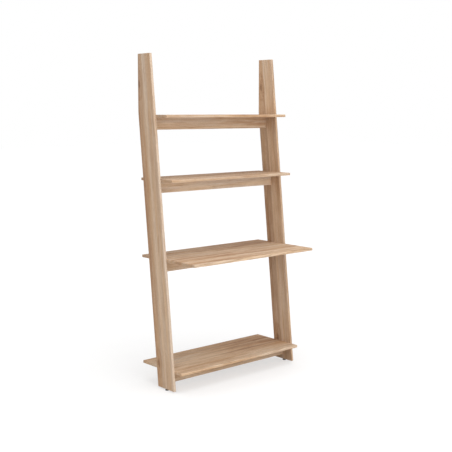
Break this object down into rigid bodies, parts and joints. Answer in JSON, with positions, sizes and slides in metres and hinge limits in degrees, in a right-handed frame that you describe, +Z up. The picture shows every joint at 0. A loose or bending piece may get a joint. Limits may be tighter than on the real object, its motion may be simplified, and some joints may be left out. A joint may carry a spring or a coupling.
{
  "type": "leaning ladder desk",
  "caption": "Solid oak ladder desk that leans on a wall, with a deep desk top between open shelves, a rail under each board, and screw feet that level it.",
  "frame": {"origin": "on the floor, under the middle of the desk's outline", "axes": "+X to the right as seen from the front, -Y towards the person at the desk, +Y towards the wall, +Z up; the wall is the plane y = 0.235 m"},
  "size_m": [0.935, 0.47, 1.85],
  "materials": {
    "oak": "light oiled oak, satin",
    "beech": "plain turned beech",
    "zinc_steel": "bright zinc plate",
    "cam_metal": "die-cast zinc, matt",
    "black_nylon": "matt black nylon"
  },
  "bodies": {
    "desk": {"left_upright": "oak", "right_upright": "oak", "top_shelf": "oak", "top_rail": "oak", "second_shelf": "oak", "second_rail": "oak", "desk_top": "oak", "desk_rail": "oak", "bottom_shelf": "oak", "bottom_rail": "oak", "top_dowels": "beech", "top_cam_bolts": "zinc_steel", "top_cam_discs": "cam_metal", "second_dowels": "beech", "second_cam_bolts": "zinc_steel", "second_cam_discs": "cam_metal", "desk_dowels": "beech", "desk_cam_bolts": "zinc_steel", "desk_cam_discs": "cam_metal", "bottom_dowels": "beech", "bottom_cam_bolts": "zinc_steel", "bottom_cam_discs": "cam_metal", "left_foot_insert": "zinc_steel", "right_foot_insert": "zinc_steel", "left_wall_bracket": "zinc_steel", "right_wall_bracket": "zinc_steel", "bracket_screws": "zinc_steel"},
    "left_foot": {"left_foot_stem": "zinc_steel", "left_foot_pad": "black_nylon"},
    "right_foot": {"right_foot_stem": "zinc_steel", "right_foot_pad": "black_nylon"}
  },
  "joints": [
    {"name": "left_foot_height", "type": "slide", "parent": "desk", "child": "left_foot", "axis": [0, 0, -1], "range_m": [0, 0.01]},
    {"name": "right_foot_height", "type": "slide", "parent": "desk", "child": "right_foot", "axis": [0, 0, -1], "range_m": [0, 0.01]}
  ]
}
